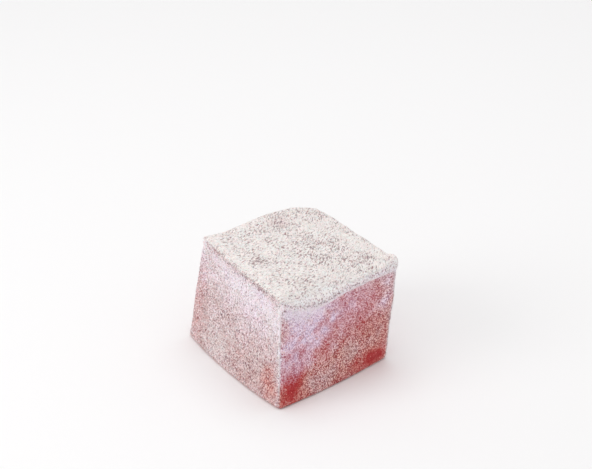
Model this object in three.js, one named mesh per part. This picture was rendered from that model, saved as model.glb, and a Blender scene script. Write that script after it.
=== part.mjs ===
// A cube of rose Turkish delight, cut from a slab and dusted with starch and icing sugar.
// Millimetres, +Z up. The origin is the middle of the base, which rests on z = 0.
// +X and -Y are the two cut sides nearest the viewer in the usual three-quarter view.

import * as THREE from "three";
import { mergeVertices } from "three/addons/utils/BufferGeometryUtils.js";
import { ImprovedNoise } from "three/addons/math/ImprovedNoise.js";

// Driving dimensions: the block as cut from the slab, before the knife and its own weight distort it.
const LENGTH = 32; // along X
const DEPTH = 29; // along Y
const HEIGHT = 24; // the slab's thickness

// Radii of the edges. The knife drags the slab's skin down, so the top rolls over the sides, which meet
// each other sharply.
const ROLL = { left: 1.2, front: 0.9, back: 1.2 };
const CUT_RADIUS = 0.9; // the four upright edges

// On +X the skin slopes down to a lip. It hangs lowest in a sag a third of the way from the front, and a
// little again at the back end. The slope reaches furthest across the top at the sag.
const HANG = { front: 1.0, sag: 3.3, back: 0.8 };
const REACH = { ends: 1.2, sag: 4.2 };
const SAG = { place: -0.33, towardsFront: 0.6, towardsBack: 0.58 }; // of half the depth
const SLOPE_SHAPE = 1.5; // the slope's profile: 2 is round, 1 is a chamfer
const FOOT_RADIUS = 0.7; // round the base

// How far each corner stands from the plain block's corner: [x, y, z]. The cut leans, and the foot spreads.
const TOP_CORNERS = {
  frontLeft: [1.7, 1.3, 0.2],
  frontRight: [2.2, 0.2, 0.0],
  backLeft: [2.0, 0.8, -1.1],
  backRight: [0.6, 1.1, -0.4],
};
const FOOT_CORNERS = {
  frontLeft: [-0.8, -1.1, 0.0],
  frontRight: [3.8, -1.3, 0.0],
  backLeft: [0.2, 1.2, 0.0],
  backRight: [-2.0, -0.1, 0.0],
};

// How far the knife has drawn up the top's corner at +X +Y.
const KNOB = { height: 1.35, from: 0.42, to: 0.72 }; // begins and ends at these shares of the way out

// How far each side swells (+) or hollows (-) halfway along, at its top, middle and foot. A side with a
// skew swells more towards its +X or +Y end.
const SIDES = {
  left: { top: 1.1, middle: 0.3, foot: 0.4, skew: 1.5 },
  right: { top: 0.3, middle: -0.6, foot: 0.8, skew: 0 },
  front: { top: 0.6, middle: 0.2, foot: 1.3, skew: 0 },
  back: { top: 0.3, middle: -0.4, foot: 0.5, skew: 0 },
};

// How far the top rises (+) or sags (-) in the middle, and halfway along each of its edges.
const TOP_RISE = { middle: 0.5, left: 0.95, right: -0.4, front: -0.3, back: 0.4 };

// The lip where the rolled skin ends and the cut side begins: how far each side stands back under it.
const LIP = { left: 0.15, right: 0.4, front: 0.2, back: 0.15 };
const LIP_BAND = 0.9;
const LIP_FADE = 6;

// Relief of the caked dusting: coarse waves, and finer lumps on them.
const RELIEF = [
  { height: 0.22, length: 5.2 },
  { height: 0.12, length: 2.3 },
];

// Rows of facets along X, Y and Z, closer together towards the edges. The top ones run along the roll.
const ROWS = { x: 28, y: 26, z: 24 };
const EDGE_CROWDING = 0.5;
const ROLL_ROWS = 4;

const HALF = new THREE.Vector3(LENGTH / 2, DEPTH / 2, HEIGHT / 2);
const { clamp, lerp, smoothstep } = THREE.MathUtils;
const noise = new ImprovedNoise();

// Moves a row at t, from -1 to 1, towards the nearer edge.
function crowd(t) {
  return lerp(t, Math.sin((t * Math.PI) / 2), EDGE_CROWDING);
}

// Falls from 1 in the middle of a face to 0 at its edges, with its peak off the middle where there is a skew.
function arch(t, skew = 0) {
  return (1 - t * t) * (1 + skew * t);
}

// A side's value at u or v, where a pair of opposite sides has the values low and high.
function across(low, high, t) {
  return lerp(low, high, smoothstep(t, -1, 1));
}

// A point's place in the block, each coordinate from -1 to 1.
function placeIn(p) {
  return p.clone().divide(HALF).clampScalar(-1, 1);
}

// The roll at a place in the block: its reach and its hang at the X sides, and its radius at the Y sides.
function rollAt({ x: u, y: v }) {
  const width = v < SAG.place ? SAG.towardsFront : SAG.towardsBack;
  const sag = Math.exp(-(((v - SAG.place) / width) ** 2));
  const reach = REACH.ends + REACH.sag * sag;
  const hang = HANG.front + HANG.sag * sag + HANG.back * smoothstep(v, 0.3, 1);
  return {
    reach: across(ROLL.left, reach, u),
    hang: across(ROLL.left, hang, u),
    radius: across(ROLL.front, ROLL.back, v),
  };
}

// How far below the top the roll ends at a place on the sides.
function rollDepth(place) {
  const { hang, radius } = rollAt(place);
  const share = place.x ** 8 / (place.x ** 8 + place.y ** 8 + 1e-9);
  return lerp(radius, hang, share);
}

// Shifts the rows of the upper half so that one of them runs along the roll's lower edge.
function followRoll(p) {
  const row = HALF.z * (1 - crowd(1 - (2 * ROLL_ROWS) / ROWS.z));
  const edge = rollDepth(placeIn(p));
  const depth = HALF.z - p.z;
  if (depth < row) {
    p.z = HALF.z - (depth * edge) / row;
  } else if (depth < HALF.z) {
    p.z = HALF.z - lerp(edge, HALF.z, (depth - row) / (HALF.z - row));
  }
  return p;
}

// The edge radii at a point of the plain block.
function radiiAt(p) {
  const place = placeIn(p);
  const { reach, radius } = rollAt(place);
  const rollZ = rollDepth(place);
  const belowTop = HALF.z - p.z;
  const aboveFoot = HALF.z + p.z;
  const side = (roll) => {
    const upper = lerp(roll, CUT_RADIUS, smoothstep(belowTop, rollZ, 2 * rollZ));
    return lerp(FOOT_RADIUS, upper, smoothstep(aboveFoot, 0, 4 * FOOT_RADIUS));
  };
  return new THREE.Vector3(side(reach), side(radius), p.z > 0 ? rollZ : FOOT_RADIUS);
}

// The edges' profile at a place: round, but for the slope along +X.
function shapeAt({ x: u, y: v, z: w }) {
  return lerp(2, SLOPE_SHAPE, smoothstep(u, 0.3, 0.7) * smoothstep(w, 0.3, 0.7) * (1 - v ** 8));
}

// Rounds the plain block's edges and corners.
function roundEdges(p) {
  const radii = radiiAt(p);
  const shape = shapeAt(placeIn(p));
  const inner = HALF.clone().sub(radii);
  const core = p.clone().clamp(inner.clone().negate(), inner);
  const outward = p.clone().sub(core).divide(radii);
  const size = outward.toArray().reduce((sum, t) => sum + Math.abs(t) ** shape, 0) ** (1 / shape);
  return core.add(outward.divideScalar(size || 1).multiply(radii));
}

// The corners' shifts, spread evenly through the block.
function cornerShift(place) {
  const [right, back, up] = [place.x, place.y, place.z].map((t) => (t + 1) / 2);
  const level = (corners) => {
    const [fl, fr, bl, br] = ["frontLeft", "frontRight", "backLeft", "backRight"].map(
      (name) => new THREE.Vector3(...corners[name]),
    );
    return fl.lerp(fr, right).lerp(bl.lerp(br, right), back);
  };
  return level(FOOT_CORNERS).lerp(level(TOP_CORNERS), up);
}

// How far a side swells at a place t along it and w up it.
function swell(side, t, w) {
  const profile = (side.top * w * (w + 1)) / 2 + side.middle * (1 - w * w) + (side.foot * w * (w - 1)) / 2;
  return profile * arch(t, side.skew);
}

// The faces' own curves. Each acts on its side of the block and dies away towards the middle.
function faceCurves({ x: u, y: v, z: w }) {
  const right = clamp(u, 0, 1) ** 2;
  const left = clamp(-u, 0, 1) ** 2;
  const back = clamp(v, 0, 1) ** 2;
  const front = clamp(-v, 0, 1) ** 2;
  const rise =
    TOP_RISE.middle * arch(u) * arch(v) +
    (TOP_RISE.left * left + TOP_RISE.right * right) * arch(v, SIDES.left.skew) +
    (TOP_RISE.front * front + TOP_RISE.back * back) * arch(u);
  const upper = clamp(w, 0, 1) ** 3;
  const knob = KNOB.height * smoothstep(right * back, KNOB.from, KNOB.to) * clamp(w, 0, 1) ** 8;
  return new THREE.Vector3(
    right * swell(SIDES.right, v, w) - left * swell(SIDES.left, v, w),
    back * swell(SIDES.back, u, w) - front * swell(SIDES.front, u, w),
    upper * rise + knob,
  );
}

// How far the sides stand back under the rolled skin, towards the block's axis.
function lipShift(place, p) {
  const { hang, radius } = rollAt(place);
  const shift = (roll, lip, t) => {
    const below = HALF.z - roll - p.z;
    return -lip * t ** 5 * smoothstep(below, 0, LIP_BAND) * Math.exp(-Math.max(below, 0) / LIP_FADE);
  };
  return new THREE.Vector3(
    shift(hang, across(LIP.left, LIP.right, place.x), place.x),
    shift(radius, across(LIP.front, LIP.back, place.y), place.y),
    0,
  );
}

// The main form: where a point of the plain block ends up.
function formOf(p) {
  const rounded = roundEdges(p);
  const place = placeIn(rounded);
  const shift = cornerShift(place).add(faceCurves(place)).add(lipShift(place, rounded));
  return rounded.add(shift).add(new THREE.Vector3(0, 0, HALF.z));
}

// Height of the caked dusting at a point, dying away at the base so that it stays flat.
function reliefAt(p) {
  const fade = smoothstep(p.z, 0, 2 * FOOT_RADIUS);
  const sum = RELIEF.reduce(
    (total, { height, length }, i) =>
      total + height * noise.noise(p.x / length + 7 * i, p.y / length, p.z / length),
    0,
  );
  return fade * sum;
}

// Applies change(point, index) to every vertex.
function reshape(geometry, change) {
  const positions = geometry.getAttribute("position");
  const p = new THREE.Vector3();
  for (let i = 0; i < positions.count; i++) {
    const moved = change(p.fromBufferAttribute(positions, i).clone(), i);
    positions.setXYZ(i, moved.x, moved.y, moved.z);
  }
  geometry.computeVertexNormals();
}

function delightGeometry() {
  const box = new THREE.BoxGeometry(2, 2, 2, ROWS.x, ROWS.y, ROWS.z);
  box.deleteAttribute("normal");
  box.deleteAttribute("uv");
  const geometry = mergeVertices(box);
  reshape(geometry, (p) => {
    const block = new THREE.Vector3(crowd(p.x), crowd(p.y), crowd(p.z)).multiply(HALF);
    return formOf(followRoll(block));
  });
  const normals = geometry.getAttribute("normal").clone();
  reshape(geometry, (p, i) => {
    const normal = new THREE.Vector3().fromBufferAttribute(normals, i);
    return p.addScaledVector(normal, reliefAt(p));
  });
  geometry.computeBoundingBox();
  const middle = geometry.boundingBox.getCenter(new THREE.Vector3());
  return geometry.translate(-middle.x, -middle.y, -geometry.boundingBox.min.z);
}

// Red jelly under a matt, pinkish white dusting.
function dustedJelly() {
  return new THREE.MeshStandardMaterial({ color: 0xe2c6c4, roughness: 0.85, metalness: 0 });
}

const delight = new THREE.Mesh(delightGeometry(), dustedJelly());
delight.name = "delight_cube";

const part = new THREE.Group();
part.add(delight);

export default part;
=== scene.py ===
"""A cube of rose Turkish delight, dusted with starch and icing sugar, dressed over its CAD solid.

Blender works in metres. Sizes here are in millimetres, and MM turns them into metres.
+X and -Y are the two cut sides that face the camera.
"""

import itertools
import math

import bmesh
import bpy
import numpy as np
from mathutils import Matrix, Vector
from mathutils.bvhtree import BVHTree


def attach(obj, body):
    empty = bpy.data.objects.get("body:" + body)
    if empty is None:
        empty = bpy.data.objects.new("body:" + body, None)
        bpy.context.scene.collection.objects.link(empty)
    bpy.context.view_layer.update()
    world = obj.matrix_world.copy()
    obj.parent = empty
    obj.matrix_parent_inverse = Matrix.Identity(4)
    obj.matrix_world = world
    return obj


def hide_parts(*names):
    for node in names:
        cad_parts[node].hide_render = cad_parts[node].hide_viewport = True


MM = 0.001
SEED = 20

# The camera, from a fit to the round rim of the dish that the cube was served in.
CAMERA_MM = (372.0, -236.53, 258.09)
CAMERA_TURN = math.radians(57.5)  # from -Y towards +X
CAMERA_PITCH = math.radians(27.59)  # down
FOCAL_PIXELS = 2433.1
IMAGE_WIDTH = 592
SENSOR_MM = 36.0

# The fine skin: rows of quads along X, Y and Z, about 0.23 mm apart.
SKIN_ROWS = (138, 124, 104)
CORE = 0.7  # the rays that find the skin start this far out, of 1 at the surface
SMOOTHING_LEVELS = 2
WELD_DISTANCE = 1e-6  # metres

# One seed for each use of the noise. A use with octaves takes the seeds that follow too.
WANDER_SEEDS = (1, 2, 3)
BEND_SEED = 5
HIDDEN_DUST_SEED, HIDDEN_FILM_SEED = 40, 44
PITS_SEED, GROOVE_SEED, EDGE_SEED = 50, 52, 54
STREAKS_SEED, LUMPS_SEED, FINE_SEED = 60, 70, 80
SIDE_DUST_SEED, SIDE_FILM_SEED = 90, 94


def smoothstep(low, high, value):
    """From 0 at low to 1 at high, with soft ends."""
    t = np.clip((value - low) / (high - low), 0.0, 1.0)
    return t * t * (3.0 - 2.0 * t)


def hill(value, middle, width):
    """1 at the middle, fading away over the width on both sides."""
    return np.exp(-(((value - middle) / width) ** 2))


def noise(points, seed):
    """Smooth noise from -1 to 1 at each point, with about one wave to two units."""
    cell = np.floor(points).astype(np.int64)
    part = points - cell
    part = part * part * (3.0 - 2.0 * part)
    total = np.zeros(len(points))
    for corner in itertools.product((0, 1), repeat=3):
        at = (cell + corner) & 0xFFFFFFFF
        key = (at[:, 0] * 73856093) ^ (at[:, 1] * 19349663) ^ (at[:, 2] * 83492791) ^ (seed * 2654435761)
        key &= 0xFFFFFFFF
        key = ((key ^ (key >> 16)) * 0x45D9F3B) & 0xFFFFFFFF
        key = ((key ^ (key >> 16)) * 0x45D9F3B) & 0xFFFFFFFF
        value = (key ^ (key >> 16)) / 0x7FFFFFFF - 1.0
        weight = np.prod(np.where(corner, part, 1.0 - part), axis=1)
        total += weight * value
    return total


def waves(points, octaves, seed):
    """Noise with finer, weaker waves on it."""
    total, norm = np.zeros(len(points)), 0.0
    for i in range(octaves):
        total += noise(points * 2.0**i + 11.3 * i, seed + i) * 0.5**i
        norm += 0.25**i
    return total / math.sqrt(norm)


def new_object(name, data):
    piece = bpy.data.objects.new(name, data)
    bpy.context.scene.collection.objects.link(piece)
    return piece


def mesh_of(name, points, faces):
    """A smooth mesh from points in millimetres and an array of faces."""
    mesh = bpy.data.meshes.new(name)
    sides = faces.shape[1]
    mesh.vertices.add(len(points))
    mesh.vertices.foreach_set("co", (np.asarray(points) * MM).astype(np.float32).ravel())
    mesh.loops.add(faces.size)
    mesh.loops.foreach_set("vertex_index", faces.astype(np.int32).ravel())
    mesh.polygons.add(len(faces))
    mesh.polygons.foreach_set("loop_start", np.arange(0, faces.size, sides, dtype=np.int32))
    mesh.polygons.foreach_set("use_smooth", np.ones(len(faces), bool))
    mesh.update(calc_edges=True)
    return mesh


def points_of(mesh):
    """A mesh's points in millimetres."""
    co = np.zeros(len(mesh.vertices) * 3, np.float32)
    mesh.vertices.foreach_get("co", co)
    return co.reshape(-1, 3).astype(float) / MM


def normals_of(mesh):
    normals = np.zeros(len(mesh.vertices) * 3, np.float32)
    mesh.vertex_normals.foreach_get("vector", normals)
    return normals.reshape(-1, 3).astype(float)


def write_floats(mesh, name, values):
    mesh.attributes.new(name, "FLOAT", "POINT").data.foreach_set("value", values.astype(np.float32))


def write_vectors(mesh, name, values):
    layer = mesh.attributes.new(name, "FLOAT_VECTOR", "POINT")
    layer.data.foreach_set("vector", values.astype(np.float32).ravel())


# ---------------------------------------------------------------- the skin over the CAD solid


def smooth_solid(cad):
    """The CAD solid's surface with its facets smoothed away, as a tree for rays, and its points."""
    bm = bmesh.new()
    bm.from_mesh(cad.data)
    bmesh.ops.remove_doubles(bm, verts=bm.verts, dist=WELD_DISTANCE)
    any_angle = math.pi
    bmesh.ops.join_triangles(
        bm, faces=bm.faces, angle_face_threshold=any_angle, angle_shape_threshold=any_angle
    )
    mesh = bpy.data.meshes.new("smooth_solid")
    bm.to_mesh(mesh)
    bm.free()
    helper = new_object("smooth_solid", mesh)
    subdivision = helper.modifiers.new("smooth", "SUBSURF")
    subdivision.levels = SMOOTHING_LEVELS
    bpy.context.view_layer.update()
    evaluated = helper.evaluated_get(bpy.context.evaluated_depsgraph_get())
    tree = BVHTree.FromObject(evaluated, bpy.context.evaluated_depsgraph_get())
    points = points_of(evaluated.to_mesh())
    evaluated.to_mesh_clear()
    bpy.data.objects.remove(helper)
    bpy.data.meshes.remove(mesh)
    return tree, points


def box_grid(counts):
    """The lattice points on a box's surface, from 0 to counts, and its outward quads."""
    quads = []
    for axis in range(3):
        u, v = (axis + 1) % 3, (axis + 2) % 3
        i, j = (grid.ravel() for grid in np.meshgrid(range(counts[u]), range(counts[v]), indexing="ij"))
        for side in (0, 1):
            quad = np.zeros((i.size, 4, 3), int)
            quad[..., axis] = side * counts[axis]
            for k, (di, dj) in enumerate(((0, 0), (1, 0), (1, 1), (0, 1))):
                quad[:, k, u] = i + di
                quad[:, k, v] = j + dj
            quads.append(quad if side else quad[:, ::-1])
    quads = np.concatenate(quads)
    points, index = np.unique(quads.reshape(-1, 3), axis=0, return_inverse=True)
    return points, index.reshape(-1, 4)


def skewed_box(points):
    """A function from places, -1 to 1 each way, to the box whose corners are the solid's own."""
    middle = (points.min(0) + points.max(0)) / 2
    half = (points.max(0) - points.min(0)) / 2
    corners = {}
    for sign in itertools.product((-1, 1), repeat=3):
        reach = ((points - middle) / half) @ np.array(sign)
        corners[sign] = points[reach.argmax()]

    def place(at):
        total = np.zeros_like(at)
        for sign, corner in corners.items():
            total += np.prod((1 + at * sign) / 2, axis=1)[:, None] * corner
        return total

    return place


def skin_grid(cad):
    """An even grid of points and quads on the smoothed solid."""
    tree, points = smooth_solid(cad)
    place = skewed_box(points)
    lattice, quads = box_grid(SKIN_ROWS)
    at = lattice / np.array(SKIN_ROWS) * 2 - 1
    start = place(np.clip(at, -CORE, CORE))
    way = place(at) - start
    skin = np.empty_like(start)
    for i, (a, d) in enumerate(zip(start * MM, way)):
        hit = tree.ray_cast(Vector(a), Vector(d))[0]
        skin[i] = (hit if hit else Vector(a + d * MM))[:]
    return skin / MM, quads


# ---------------------------------------------------------------- where the dusting lies

# Each side has a level of dusting and of film, and patches of more (+) or less (-): the patch's place on
# the side, its radii, its tilt in degrees, and what it adds to the dusting and to the film. Places on +X
# are (y, z), on -Y (x, z) and on the top (x, y). Dusting is coarse white grain, from 0 (bare jelly) to 1
# (caked) and beyond, to the thickest. Film is the finest starch, which looks lavender over the red jelly;
# its lavender is also painted cool shade on the sides, under the rim and under the lip.
# Dusting beyond 1 gives near-white tones brighter than real powder, a painted highlight on the roll and the
# far edge.
THICKEST = 1.25
RIGHT_LEVELS = (0.37, 0.04)
RIGHT_PATCHES = [
    ((2.5, 17.5), (10.5, 5.0), 0, -0.23, 0.49),  # the film under the lip
    ((-8.0, 13.8), (4.5, 6.0), -14, -0.12, 0.85),  # the lavender patch
    ((-9.0, 17.5), (3.5, 2.5), 0, 0.14, 0.04),
    ((-7.5, 10.0), (4.0, 3.0), 0, -0.23, 0.14),
    ((-3.0, 16.5), (3.0, 2.5), 0, -0.04, 0.22),
    ((-9.0, 20.0), (6.0, 1.7), -14, 0.64, 0.84),  # under the lip at the front
    ((-13.5, 12.0), (0.7, 9.0), 0, 0.16, 0.30),  # beside the front edge
    ((-1.0, 11.0), (4.8, 3.8), 0, -0.10, 0.28),
    ((8.0, 12.5), (3.0, 4.0), 0, -0.10, 0.0),
    ((-11.5, 8.0), (2.6, 4.5), 0, -0.31, 0.31),
    ((13.0, 15.6), (1.5, 4.4), -38, 0.12, 0.48),  # the far diagonal
    ((13.0, 20.0), (2.0, 3.0), 0, 0.10, 0.22),
    ((4.5, 6.0), (1.9, 2.2), -20, 0.08, 0.03),
    ((-2.2, 3.2), (2.4, 1.8), 0, 0.08, 0.12),
    ((-12.0, 3.0), (3.0, 4.0), 0, -0.30, -0.32),  # bare foot at the front
    ((1.5, 0.0), (6.0, 1.7), 12, -0.14, 0.0),
    ((8.8, 1.8), (3.9, 2.8), 20, -0.39, -0.08),  # bare foot
    ((13.6, 2.0), (2.0, 3.0), 0, -0.16, 0.0),
    ((-8.5, 5.5), (3.0, 2.2), 0, -0.06, -0.30),
    ((-4.5, 6.3), (1.8, 1.4), 0, -0.07, -0.05),
    ((11.5, 1.5), (2.5, 1.6), 0, -0.32, -0.14),
    ((-11.3, 14.0), (1.8, 6.0), 0, -0.20, 0.28),
    ((-3.0, 14.6), (6.5, 3.4), 0, -0.14, -0.02),
    ((3.4, 2.4), (3.4, 1.6), 10, -0.10, -0.03),
    ((13.6, 14.0), (1.5, 4.0), 0, 0.02, 0.14),
    ((-7.0, 2.8), (1.8, 1.6), 0, 0.04, 0.08),
]
FRONT_LEVELS = (0.70, 0.14)
FRONT_PATCHES = [
    ((3.0, 20.8), (13.0, 4.0), 0, 0.25, 0.50),  # caked under the rim
    ((8.0, 17.0), (6.0, 4.5), 0, 0.0, 0.30),
    ((-9.0, 19.0), (6.0, 4.0), 0, 0.0, 0.10),
    ((12.0, 14.0), (4.0, 4.0), 0, 0.0, 0.10),
    ((-15.0, 8.0), (3.4, 11.0), 0, -0.14, -0.04),
    ((14.5, 4.0), (3.0, 4.5), 0, -0.24, -0.12),
    ((-14.0, 16.0), (3.0, 4.0), 0, 0.0, 0.22),
    ((1.0, 15.5), (6.0, 3.0), 0, 0.04, 0.14),
    ((7.0, 3.0), (9.0, 4.5), 0, -0.07, -0.12),
    ((13.5, 18.5), (3.5, 3.5), 0, 0.16, 0.18),
    ((17.5, 14.0), (1.0, 9.0), 4, 0.18, 0.24),  # beside the front edge
    ((-15.5, 22.5), (2.5, 1.6), 0, 0.35, 0.20),
    ((-7.0, 4.0), (6.0, 4.5), 0, 0.06, -0.10),
]
TOP_LEVELS = (1.02, 0.0)
# The top's patches of thinner dusting near the back edges are painted shadow of the neighbouring cubes.
TOP_PATCHES_AND_PAINTED_SHADOW = [
    ((-12.5, 4.5), (2.0, 2.5), 0, -0.20, 0.0),
    ((-9.0, 12.0), (5.0, 2.0), 0, -0.06, 0.04),
]
# How much more (+) or less (-) the top is pitted, and so darkened with painted shade: place, radii, tilt,
# amount.
TOP_PITS_AND_PAINTED_SHADE = [
    ((0.0, -9.5), (3.4, 3.4), 0, 0.36),
    ((4.0, 6.5), (4.2, 4.2), 0, 0.46),
    ((10.0, 10.0), (2.6, 2.6), 0, 0.42),
    ((3.0, 13.4), (11.0, 1.4), 3, -0.40),
    ((-13.0, -10.5), (3.0, 3.0), 0, -0.45),
    ((13.5, -10.5), (4.0, 2.4), 0, -0.28),
    ((12.5, 1.5), (2.6, 6.0), 0, -0.24),
]

# The lip in which the skin's roll over +X ends, as (y, z).
LIP_LINE = [
    (-14.5, 23.2), (-12.9, 22.7), (-12.0, 22.0), (-10.1, 21.0), (-7.9, 20.3), (-4.3, 19.7), (-2.2, 19.8),
    (-0.6, 20.2), (1.4, 20.8), (4.9, 21.5), (8.5, 22.1), (14.2, 22.4),
]  # fmt: skip
LIP_BLEND = (-0.05, 0.15)  # the roll begins between these heights above the lip
# The pale line along the lip is caked powder and a painted highlight on the ridge.
RIDGE_HEIGHT, RIDGE_WIDTH = -0.22, 0.22  # the pale line along the lip
WANDER_SIZE = 3.5  # the patches' edges wander by waves of this size
FOOT_HEIGHT = 4.5  # the dusting is rubbed off below this on the hidden sides
EDGE_RISE = (1.0, 7.0)  # the powder on the front edge begins between these heights

# How far the top's edge on -Y is from the middle, and how much farther out it lies per millimetre of +X.
RIM_FROM_MIDDLE = 13.5
RIM_SLOPE = 0.035
RIM_BAND, RIM_BAND_WIDTH = 1.5, 0.8  # the less pitted band inside that edge


def patch_share(place, radii, tilt, s, t):
    """A patch's strength at (s, t), from 1 in its middle to 0 far away."""
    turn = math.radians(tilt)
    along = (s - place[0]) * math.cos(turn) + (t - place[1]) * math.sin(turn)
    up = (t - place[1]) * math.cos(turn) - (s - place[0]) * math.sin(turn)
    return np.exp(-((along / radii[0]) ** 2) - (up / radii[1]) ** 2)


def patch_sums(levels, patches, s, t):
    """The dusting and the film over a side, from its levels and patches."""
    dust, film_and_painted_cool_shade = (np.full(len(s), float(level)) for level in levels)
    for place, radii, tilt, more_dust, more_film_and_painted_cool_shade in patches:
        share = patch_share(place, radii, tilt, s, t)
        dust += more_dust * share
        film_and_painted_cool_shade += more_film_and_painted_cool_shade * share
    return np.stack([dust, film_and_painted_cool_shade])


def face_shares(normals):
    """How far each point belongs to the top, +X, -X, +Y, -Y and the base."""
    axes = np.array([(0, 0, 1), (1, 0, 0), (-1, 0, 0), (0, 1, 0), (0, -1, 0), (0, 0, -1)])
    share = np.clip(normals @ axes.T, 0, 1) ** 6
    return (share / share.sum(1, keepdims=True)).T


def above_lip(points):
    """Height above the lip along +X."""
    return points[:, 2] - np.interp(points[:, 1], *zip(*LIP_LINE))


def hidden_sides(points, normals, wander):
    """The dusting and the film over -X and +Y."""
    foot = 1 - smoothstep(0.0, FOOT_HEIGHT, points[:, 2] + 1.6 * wander[:, 2])
    upward = smoothstep(0.05, 0.40, normals[:, 2])
    dust = 0.60 + 0.16 * waves(points / 4.5, 2, HIDDEN_DUST_SEED) - 0.34 * foot + 0.40 * upward
    film_and_painted_cool_shade = 0.34 + 0.30 * waves(points / 5.5, 2, HIDDEN_FILM_SEED) - 0.40 * foot
    return np.stack([dust, film_and_painted_cool_shade])


def dust_lip(dust, film_and_painted_cool_shade, roll, right, lip):
    """Cake the roll over +X down to its lip, whitened past real powder as a painted highlight, with a pale
    ridge along the lip (caked powder and a painted highlight) and film, with its painted cool shade, on
    both sides.
    """
    near = roll * np.exp(-np.maximum(lip, 0) / 1.0)
    under = right * np.exp(np.minimum(lip, 0) / 1.5)
    # the roll is dusted up to the thickest, near-white tones: caked powder and a painted highlight
    dust += 0.28 * roll - 0.28 * near + 0.18 * under
    film_and_painted_cool_shade += 0.65 * roll * np.exp(-np.maximum(lip, 0) / 1.5) + 0.42 * under
    # the pale ridge: caked powder, and a painted highlight on its lit edge
    ridge_powder_and_highlight = (roll + right) * hill(lip, RIDGE_HEIGHT, RIDGE_WIDTH)
    dust += ridge_powder_and_highlight * (1.05 - dust)
    film_and_painted_cool_shade += ridge_powder_and_highlight * (0.50 - film_and_painted_cool_shade)
    return dust, film_and_painted_cool_shade, near, ridge_powder_and_highlight


def dust_edges(dust, film_and_painted_cool_shade, points, right, left, back, front):
    """Gather powder along the upright edges; the far edge, between +X and +Y, is whitened further as a
    painted rim highlight.
    """
    rise = smoothstep(*EDGE_RISE, points[:, 2])
    edge = (4 * front * right) ** 0.22 * rise * (0.9 + 0.6 * noise(points / 0.7, EDGE_SEED))
    # the far edge: powder, whitened further as a painted rim highlight
    far_edge_powder_and_rim_light = (4 * right * back) ** 0.25
    dust += 0.48 * edge + 0.95 * far_edge_powder_and_rim_light + 0.55 * np.sqrt(4 * front * left)
    film_and_painted_cool_shade += 0.22 * edge + 0.25 * far_edge_powder_and_rim_light
    return dust, film_and_painted_cool_shade


def dusting(points, normals):
    """The dusting, the film with its painted cool shade, how pitted they are (the pits carry painted shade)
    and the knife's groove, at each point.
    """
    top, right, left, back, front, base = face_shares(normals)
    wander = np.stack([noise(points / WANDER_SIZE, seed) for seed in WANDER_SEEDS], axis=1)
    wx, wy, wz = (points + wander).T
    lip = above_lip(points)
    roll = smoothstep(*LIP_BLEND, lip) * right
    right = right - roll
    sides = right + left + back + front
    dust, film_and_painted_cool_shade = (
        (top + roll) * patch_sums(TOP_LEVELS, TOP_PATCHES_AND_PAINTED_SHADOW, wx, wy)
        + right * patch_sums(RIGHT_LEVELS, RIGHT_PATCHES, wy, wz)
        + front * patch_sums(FRONT_LEVELS, FRONT_PATCHES, wx, wz)
        + (left + back) * hidden_sides(points, normals, wander)
    )
    dust += sides * 0.06 * waves(points / 1.5, 2, SIDE_DUST_SEED)
    film_and_painted_cool_shade += sides * (0.10 + 0.40 * film_and_painted_cool_shade) * waves(points / 2.2, 2, SIDE_FILM_SEED)
    dust, film_and_painted_cool_shade, near, ridge_powder_and_highlight = dust_lip(dust, film_and_painted_cool_shade, roll, right, lip)
    dust, film_and_painted_cool_shade = dust_edges(dust, film_and_painted_cool_shade, points, right, left, back, front)
    groove = groove_of(points, normals)
    # thinner dust and film in the knife's groove; its darker, pittier band is painted shade in the crease
    dust -= 0.10 * groove
    film_and_painted_cool_shade *= 1 - 0.5 * groove
    dust = dust * (1 - base) + 0.30 * base

    # pits darken the colour as painted shade in hollows as well as by the jelly below; they gather in the
    # groove and just above the lip, and thin out on the ridge and under the film
    pits_and_painted_shade = 0.66 + (0.45 * top + 0.2 * sides) * noise(points / 2.0, PITS_SEED)
    pits_and_painted_shade += 0.5 * groove + 0.65 * near - 1.2 * ridge_powder_and_highlight + (0.08 - 0.45 * film_and_painted_cool_shade) * sides
    rim = points[:, 1] + RIM_FROM_MIDDLE + RIM_SLOPE * points[:, 0]
    pits_and_painted_shade -= 0.40 * top * hill(rim, RIM_BAND, RIM_BAND_WIDTH)
    for place, radii, tilt, amount in TOP_PITS_AND_PAINTED_SHADE:
        pits_and_painted_shade += amount * top * patch_share(place, radii, tilt, wx, wy)
    return np.clip(dust, 0, THICKEST), np.clip(film_and_painted_cool_shade, 0, 1), pits_and_painted_shade, groove


def groove_of(points, normals):
    """The groove that the knife has left along the top's edge on -Y, which also darkens the dusting there
    as painted shade in the crease.
    """
    x, y, z = points.T
    # the edge is where the skin faces halfway between -Y and up; a smooth curve along it is the rim
    rim = (normals[:, 1] < -0.5) & (np.abs(normals[:, 2] + normals[:, 1]) < 0.1) & (np.abs(x) < 14.5)
    rim_y, rim_z = (np.polyval(np.polyfit(x[rim], way[rim], 4), x) for way in (y, z))
    inward = (y - rim_y) - (rim_z - z)  # unfolded: across the top (+), and down the side (-)
    ends = smoothstep(-14.0, -11.5, x) * (1 - smoothstep(13.5, 15.0, x))
    uneven = 0.75 + 0.45 * noise(points / 0.7, GROOVE_SEED)
    return hill(inward, -0.2, 0.75) * ends * uneven


# ---------------------------------------------------------------- relief


STREAK_TURN = math.radians(47)  # the streaks on +X, from +Y upwards


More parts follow.
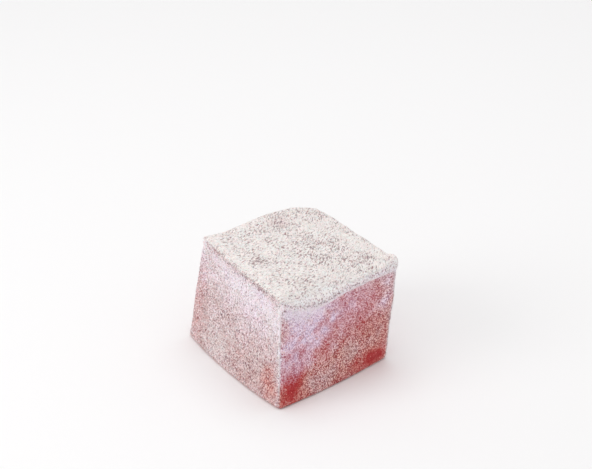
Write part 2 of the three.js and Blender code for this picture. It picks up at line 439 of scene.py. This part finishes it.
def flow_of(points, normals):
    """Places for streaky texture: distances along the streaks are squeezed."""
    top, right, left, back, front, _ = face_shares(normals)
    x, y, z = points.T
    bend = 0.8 * noise(points / 6.0, BEND_SEED)
    across = x + 0.47 * y + 0.0165 * y * y + bend
    on_top = np.stack([across * 1.1, y * 0.40, z * 1.1], axis=1)
    sin, cos = math.sin(STREAK_TURN), math.cos(STREAK_TURN)
    on_right = np.stack([x, (y * cos + z * sin) * 0.75, z * cos - y * sin], axis=1)
    on_front = np.stack([x, y, z * 0.75], axis=1)
    flow = np.where((top > 0.5)[:, None], on_top, points)
    flow = np.where((right > 0.5)[:, None], on_right, flow)
    return np.where((front + back + left > 0.5)[:, None], on_front, flow)


def add_relief(points, normals, flow, dust, groove):
    """The skin's points, moved out to the caked dusting's lumps and grain."""
    top, right, *_, base = face_shares(normals)
    size = 0.36 + 0.22 * top[:, None]
    streaks = waves(flow / size, 2, STREAKS_SEED) * (0.6 + 0.7 * top)
    lumps = waves(points / 1.1, 2, LUMPS_SEED)
    grain = noise(points / 0.30, FINE_SEED)
    relief = 0.35 * lumps + 0.7 * streaks + 0.35 * grain
    height = 0.07 * relief + 0.05 * smoothstep(0.2, 0.9, dust)
    height -= 0.14 * groove
    height += 0.08 * right * hill(above_lip(points), -0.15, 0.30)
    height *= (1.0 - base) * smoothstep(0.0, 0.5, points[:, 2])  # the base and the foot stay plain
    return points + normals * height[:, None]


# ---------------------------------------------------------------- materials


def node(tree, kind, inputs=None, **settings):
    """A shader node with its settings and input values or links."""
    made = tree.nodes.new(kind)
    for key, value in settings.items():
        setattr(made, key, value)
    for key, value in (inputs or {}).items():
        socket = made.inputs[key]
        if isinstance(value, bpy.types.NodeSocket):
            tree.links.new(value, socket)
        else:
            socket.default_value = value
    return made


def ramp(tree, factor, stops):
    made = node(tree, "ShaderNodeValToRGB", {"Fac": factor})
    band = made.color_ramp
    while len(band.elements) < len(stops):
        band.elements.new(0.5)
    for element, (at, colour) in zip(band.elements, stops):
        element.position = at
        element.color = (*colour, 1.0)
    return made.outputs["Color"]


def math_node(tree, operation, a, b):
    return node(tree, "ShaderNodeMath", {0: a, 1: b}, operation=operation).outputs[0]


def map_range(tree, value, low, high, to_low=0.0, to_high=1.0):
    inputs = {"Value": value, "From Min": low, "From Max": high, "To Min": to_low, "To Max": to_high}
    return node(tree, "ShaderNodeMapRange", inputs, interpolation_type="SMOOTHSTEP").outputs["Result"]


def attribute(tree, name, output="Fac"):
    return node(tree, "ShaderNodeAttribute", attribute_name=name).outputs[output]


def noise_node(tree, vector, scale, detail, roughness):
    inputs = {"Vector": vector, "Scale": scale, "Detail": detail, "Roughness": roughness}
    return node(tree, "ShaderNodeTexNoise", inputs).outputs["Fac"]


def mixed(tree, factor, a, b, blend="MIX"):
    inputs = {"Factor": factor, 6: a, 7: b}  # 6 and 7 are the node's two colours
    return node(tree, "ShaderNodeMix", inputs, data_type="RGBA", blend_type=blend).outputs[2]


# The dusted jelly by its dusting, from bare (0) to the thickest: the tones of the gaps between the grains
# and of the grains themselves, and the share of grains.
GAP_TONES = [
    (0.0, (0.42, 0.012, 0.016)),
    (0.15, (0.46, 0.030, 0.028)),
    (0.4, (0.38, 0.055, 0.055)),
    (0.6, (0.44, 0.24, 0.23)),
    (0.75, (0.56, 0.43, 0.425)),
    (1.0, (0.73, 0.675, 0.66)),
    # the thickest stop is whiter than real powder: a painted highlight on the roll and the far edge
    (1.25, (0.97, 0.94, 0.93)),
]
GRAIN_TONES = [
    (0.0, (0.50, 0.06, 0.06)),
    (0.15, (0.64, 0.20, 0.17)),
    (0.4, (0.86, 0.55, 0.49)),
    (0.6, (0.78, 0.60, 0.59)),
    (0.75, (0.80, 0.70, 0.695)),
    (1.0, (0.90, 0.855, 0.84)),
    # the thickest stop is whiter than real powder: a painted highlight on the roll and the far edge
    (1.25, (1.0, 1.0, 0.99)),
]
GRAIN_SHARES = [(0.0, 0.3), (0.15, 0.4), (0.4, 0.5), (0.6, 0.5), (0.75, 0.5), (1.0, 0.5), (1.25, 0.5)]
# The same two tones where the film is full: lavender starch over the jelly, and painted cool shade.
FILM_GAPS_AND_PAINTED_COOL_SHADE = [(0.2, (0.56, 0.39, 0.55)), (0.6, (0.58, 0.41, 0.56)), (1.0, (0.71, 0.58, 0.69))]
FILM_GRAINS_AND_PAINTED_COOL_SHADE = [(0.2, (0.98, 0.83, 0.97)), (0.6, (0.98, 0.86, 0.97)), (1.0, (0.93, 0.845, 0.93))]
# What a pit multiplies the colour by: redder where the jelly shows through, and darker as painted shade in
# the hollow.
PIT_TONES_JELLY_AND_PAINTED_SHADE = [
    (0.0, (0.80, 0.60, 0.60)),
    (0.4, (0.52, 0.18, 0.20)),
    (0.7, (0.38, 0.25, 0.28)),
    (1.0, (0.40, 0.305, 0.32)),
    (1.25, (0.58, 0.46, 0.49)),
]
# How much each texture, and the film, counts in choosing grain over gap.
CELL_WEIGHT, MOTTLE_WEIGHT, STREAK_WEIGHT, FILM_WEIGHT = 1.2, 1.8, 0.6, 0.12
FILM_GAP_POWER, FILM_GRAIN_POWER = 2.2, 0.75  # the film shows on the grains first


def dusted_jelly():
    """Red jelly under a dusting whose grain lets it show in pits and thin places, with painted shade in the
    pits.
    """
    material = bpy.data.materials.new("dusted_jelly")
    material.use_nodes = True
    tree = material.node_tree
    tree.nodes.clear()
    flow = attribute(tree, "flow", "Vector")
    dust, film_and_painted_cool_shade, pits_and_painted_shade = (attribute(tree, name) for name in ("dust", "film_and_painted_cool_shade", "pits_and_painted_shade"))

    def by_dust(stops):
        """The tone that the stops give for the dusting."""
        scaled = [(at / THICKEST, colour) for at, colour in stops]
        return ramp(tree, math_node(tree, "DIVIDE", dust, THICKEST), scaled)

    def add(*terms):
        """The sum of terms, each a value or a value and its weight."""
        total = None
        for term in terms:
            if isinstance(term, tuple):
                term = math_node(tree, "MULTIPLY", *term)
            total = term if total is None else math_node(tree, "ADD", total, term)
        return total

    # grains and gaps, with each small cell a little lighter or darker by its own random number
    cells = node(tree, "ShaderNodeTexVoronoi", {"Vector": flow, "Scale": 6.0}, feature="F1")
    number = node(tree, "ShaderNodeSeparateColor", {"Color": cells.outputs["Color"]}).outputs[0]
    mottle = noise_node(tree, flow, 4.2, 1.0, 0.6)
    streaks = noise_node(tree, flow, 1.5, 1.0, 0.5)
    share = by_dust([(at, (value,) * 3) for at, value in GRAIN_SHARES])
    field = add(
        share,
        (number, CELL_WEIGHT),
        (mottle, MOTTLE_WEIGHT),
        (streaks, STREAK_WEIGHT),
        (film_and_painted_cool_shade, FILM_WEIGHT),
        -0.5 * (CELL_WEIGHT + MOTTLE_WEIGHT + STREAK_WEIGHT),
    )
    grains = map_range(tree, field, 0.2, 0.8)
    on_gaps = math_node(tree, "POWER", film_and_painted_cool_shade, FILM_GAP_POWER)
    on_grains = math_node(tree, "POWER", film_and_painted_cool_shade, FILM_GRAIN_POWER)
    # the film's lavender tones stand for thin starch and for painted cool shade
    gap = mixed(tree, on_gaps, by_dust(GAP_TONES), by_dust(FILM_GAPS_AND_PAINTED_COOL_SHADE))
    top = mixed(tree, on_grains, by_dust(GRAIN_TONES), by_dust(FILM_GRAINS_AND_PAINTED_COOL_SHADE))
    colour = mixed(tree, grains, gap, top)

    # pits in the dusting: the jelly showing through, darkened further as painted shade in the hollows
    hollows = noise_node(tree, flow, 3.6, 2.0, 0.6)
    depth = add((pits_and_painted_shade, 0.12), (hollows, -1.0), 0.365)
    pit_and_painted_shade = map_range(tree, depth, 0.0, 0.045)
    colour = mixed(tree, pit_and_painted_shade, colour, mixed(tree, 1.0, colour, by_dust(PIT_TONES_JELLY_AND_PAINTED_SHADE), "MULTIPLY"))

    roughness = map_range(tree, dust, 0.0, 0.6, 0.42, 0.92)
    bump = node(
        tree, "ShaderNodeBump", {"Height": mottle, "Strength": 0.6, "Distance": 0.00015}
    ).outputs["Normal"]
    shader = node(
        tree,
        "ShaderNodeBsdfPrincipled",
        {
            "Base Color": colour,
            "Roughness": roughness,
            "Normal": bump,
            "Subsurface Weight": 0.2,
            "Subsurface Radius": (1.0, 0.25, 0.2),
            "Subsurface Scale": 0.0006,
            "Specular IOR Level": 0.25,
        },
        subsurface_method="RANDOM_WALK",
    )
    node(tree, "ShaderNodeOutputMaterial", {"Surface": shader.outputs[0]})
    return material


def plain(name, colour, roughness):
    material = bpy.data.materials.new(name)
    material.use_nodes = True
    shader = material.node_tree.nodes["Principled BSDF"]
    shader.inputs["Base Color"].default_value = (*colour, 1.0)
    shader.inputs["Roughness"].default_value = roughness
    return material


def grain_material():
    """White starch and sugar, a little warmer or cooler from grain to grain."""
    material = bpy.data.materials.new("powder_grain")
    material.use_nodes = True
    tree = material.node_tree
    tree.nodes.clear()
    dust = attribute(tree, "dust")
    tone = ramp(
        tree,
        dust,
        [
            (0.0, (0.85, 0.40, 0.38)),
            (0.4, (0.95, 0.72, 0.70)),
            (0.7, (0.93, 0.82, 0.82)),
            (1.0, (0.94, 0.89, 0.87)),
        ],
    )
    shader = node(
        tree,
        "ShaderNodeBsdfPrincipled",
        {"Base Color": tone, "Roughness": 0.9, "Specular IOR Level": 0.2},
    )
    node(tree, "ShaderNodeOutputMaterial", {"Surface": shader.outputs[0]})
    return material


# ---------------------------------------------------------------- pieces


def make_body(cad):
    skin, quads = skin_grid(cad)
    form = mesh_of("form", skin, quads)
    normals = normals_of(form)
    bpy.data.meshes.remove(form)
    dust, film_and_painted_cool_shade, pits_and_painted_shade, groove = dusting(skin, normals)
    flow = flow_of(skin, normals)
    points = add_relief(skin, normals, flow, dust, groove)
    mesh = mesh_of("dusted_delight", points, quads)
    write_floats(mesh, "dust", dust)
    write_floats(mesh, "film_and_painted_cool_shade", film_and_painted_cool_shade)
    write_floats(mesh, "pits_and_painted_shade", pits_and_painted_shade)
    write_vectors(mesh, "flow", flow)
    body = new_object("dusted_delight", mesh)
    mesh.materials.append(dusted_jelly())
    return body


GRAIN_COUNT = 9000
GRAIN_RADIUS, GRAIN_SPREAD = 0.085, 0.35  # the usual radius, and the spread of its logarithm
GRAIN_LIMITS = (0.04, 0.22)
GRAIN_STRETCH = (0.7, 1.25)
GRAIN_RISE = 0.15  # how far a grain's middle stands off the skin, of its radius
GRAIN_LOWEST = 0.4  # no grain is on the skin below this height
BARE_SHARE = 0.25  # how thickly grains lie on bare jelly


def random_turns(rng, count):
    """Rotation matrices from random quaternions."""
    q = rng.normal(size=(count, 4))
    q /= np.linalg.norm(q, axis=1, keepdims=True)
    w, x, y, z = q.T
    rows = [
        np.stack([1 - 2 * (y * y + z * z), 2 * (x * y - z * w), 2 * (x * z + y * w)], 1),
        np.stack([2 * (x * y + z * w), 1 - 2 * (x * x + z * z), 2 * (y * z - x * w)], 1),
        np.stack([2 * (x * z - y * w), 2 * (y * z + x * w), 1 - 2 * (x * x + y * y)], 1),
    ]
    return np.stack(rows, 1)


def make_grains(body):
    """Loose grains of starch and sugar that stand on the dusting, as one joined mesh of small octahedra."""
    rng = np.random.default_rng(SEED)
    mesh = body.data
    points, normals = points_of(mesh), normals_of(mesh)
    dust = np.zeros(len(points), np.float32)
    mesh.attributes["dust"].data.foreach_get("value", dust)
    quads = np.zeros(len(mesh.polygons) * 4, np.int32)
    mesh.polygons.foreach_get("vertices", quads)
    quads = quads.reshape(-1, 4)
    a, b, c, d = (points[quads[:, k]] for k in range(4))
    area = np.linalg.norm(np.cross(c - a, d - b), axis=1) / 2
    weight = area * (BARE_SHARE + dust[quads].mean(1))
    weight[points[quads][:, :, 2].max(1) < GRAIN_LOWEST] = 0.0
    pick = rng.choice(len(quads), GRAIN_COUNT, p=weight / weight.sum())
    u, v = rng.random((2, GRAIN_COUNT, 1))
    centre = (a[pick] * (1 - u) + b[pick] * u) * (1 - v) + (d[pick] * (1 - u) + c[pick] * u) * v
    normal = normals[quads[pick]].mean(1)
    radius = np.clip(rng.lognormal(math.log(GRAIN_RADIUS), GRAIN_SPREAD, GRAIN_COUNT), *GRAIN_LIMITS)
    centre += normal * (radius * GRAIN_RISE)[:, None]
    octahedron = np.array([(1, 0, 0), (-1, 0, 0), (0, 1, 0), (0, -1, 0), (0, 0, 1), (0, 0, -1)], float)
    faces = np.array(
        [(0, 2, 4), (2, 1, 4), (1, 3, 4), (3, 0, 4), (2, 0, 5), (1, 2, 5), (3, 1, 5), (0, 3, 5)]
    )
    turn = random_turns(rng, GRAIN_COUNT)
    stretch = rng.uniform(*GRAIN_STRETCH, (GRAIN_COUNT, len(octahedron), 1))
    shape = np.einsum("nij,kj->nki", turn, octahedron) * stretch * radius[:, None, None]
    verts = (centre[:, None, :] + shape).reshape(-1, 3)
    tris = (faces[None] + len(octahedron) * np.arange(GRAIN_COUNT)[:, None, None]).reshape(-1, 3)
    verts[:, 2] = np.maximum(verts[:, 2], 0.02)  # clear of the floor
    grains = mesh_of("powder_grains", verts, tris)
    write_floats(grains, "dust", np.repeat(dust[quads[pick]].mean(1), len(octahedron)))
    piece = new_object("powder_grains", grains)
    grains.materials.append(grain_material())
    return piece


# ---------------------------------------------------------------- the studio

FLOOR_REACH = 2.0  # metres from the middle to each side
FLOOR_GAP_MM = 0.02  # keeps the base and the floor apart
CUBE_MIDDLE_MM = (0, 0, 12)


def make_camera():
    forward = Vector(
        (
            -math.sin(CAMERA_TURN) * math.cos(CAMERA_PITCH),
            math.cos(CAMERA_TURN) * math.cos(CAMERA_PITCH),
            -math.sin(CAMERA_PITCH),
        )
    )
    right = Vector((math.cos(CAMERA_TURN), math.sin(CAMERA_TURN), 0))
    up = right.cross(forward)
    data = bpy.data.cameras.new("camera")
    data.sensor_width = SENSOR_MM
    data.lens = FOCAL_PIXELS / IMAGE_WIDTH * SENSOR_MM
    data.clip_start, data.clip_end = 0.01, 10.0
    camera = new_object("camera", data)
    axes = Matrix((right, up, -forward)).transposed().to_4x4()
    camera.matrix_world = Matrix.Translation(Vector(CAMERA_MM) * MM) @ axes
    bpy.context.scene.camera = camera


def make_light(name, place_mm, size_mm, power, colour):
    data = bpy.data.lights.new(name, "AREA")
    data.shape = "DISK"
    data.size = size_mm * MM
    data.energy = power
    data.color = colour
    light = new_object(name, data)
    light.location = Vector(place_mm) * MM
    aim = Vector(CUBE_MIDDLE_MM) * MM - light.location
    light.rotation_euler = aim.to_track_quat("-Z", "Y").to_euler()


def make_studio():
    corners = np.array([(-1, -1, 0), (1, -1, 0), (1, 1, 0), (-1, 1, 0)]) * FLOOR_REACH / MM
    floor = new_object("floor", mesh_of("floor", corners, np.array([[0, 1, 2, 3]])))
    floor.location.z = -FLOOR_GAP_MM * MM
    floor.data.materials.append(plain("pale_floor", (0.93, 0.93, 0.94), 0.9))
    world = bpy.data.worlds.new("studio")
    world.use_nodes = True
    background = world.node_tree.nodes["Background"]
    background.inputs["Color"].default_value = (1.0, 0.995, 0.99, 1.0)
    background.inputs["Strength"].default_value = 0.75
    bpy.context.scene.world = world
    make_light("top_softbox", (-60, 60, 420), 380, 0.44, (1.0, 0.99, 0.97))
    make_light("front_softbox", (-60, -420, 230), 300, 0.55, (1.0, 0.985, 0.98))
    bpy.context.scene.view_settings.view_transform = "Standard"


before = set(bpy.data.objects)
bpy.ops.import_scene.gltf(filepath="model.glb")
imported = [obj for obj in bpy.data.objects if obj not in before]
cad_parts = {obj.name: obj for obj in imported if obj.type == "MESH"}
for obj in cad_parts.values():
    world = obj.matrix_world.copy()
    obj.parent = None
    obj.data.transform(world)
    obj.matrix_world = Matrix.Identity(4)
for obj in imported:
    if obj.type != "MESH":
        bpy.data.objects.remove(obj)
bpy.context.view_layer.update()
make_camera()
make_studio()

body = make_body(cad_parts["delight_cube"])
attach(body, "root")
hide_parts("delight_cube")

grains = make_grains(body)
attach(grains, "root")
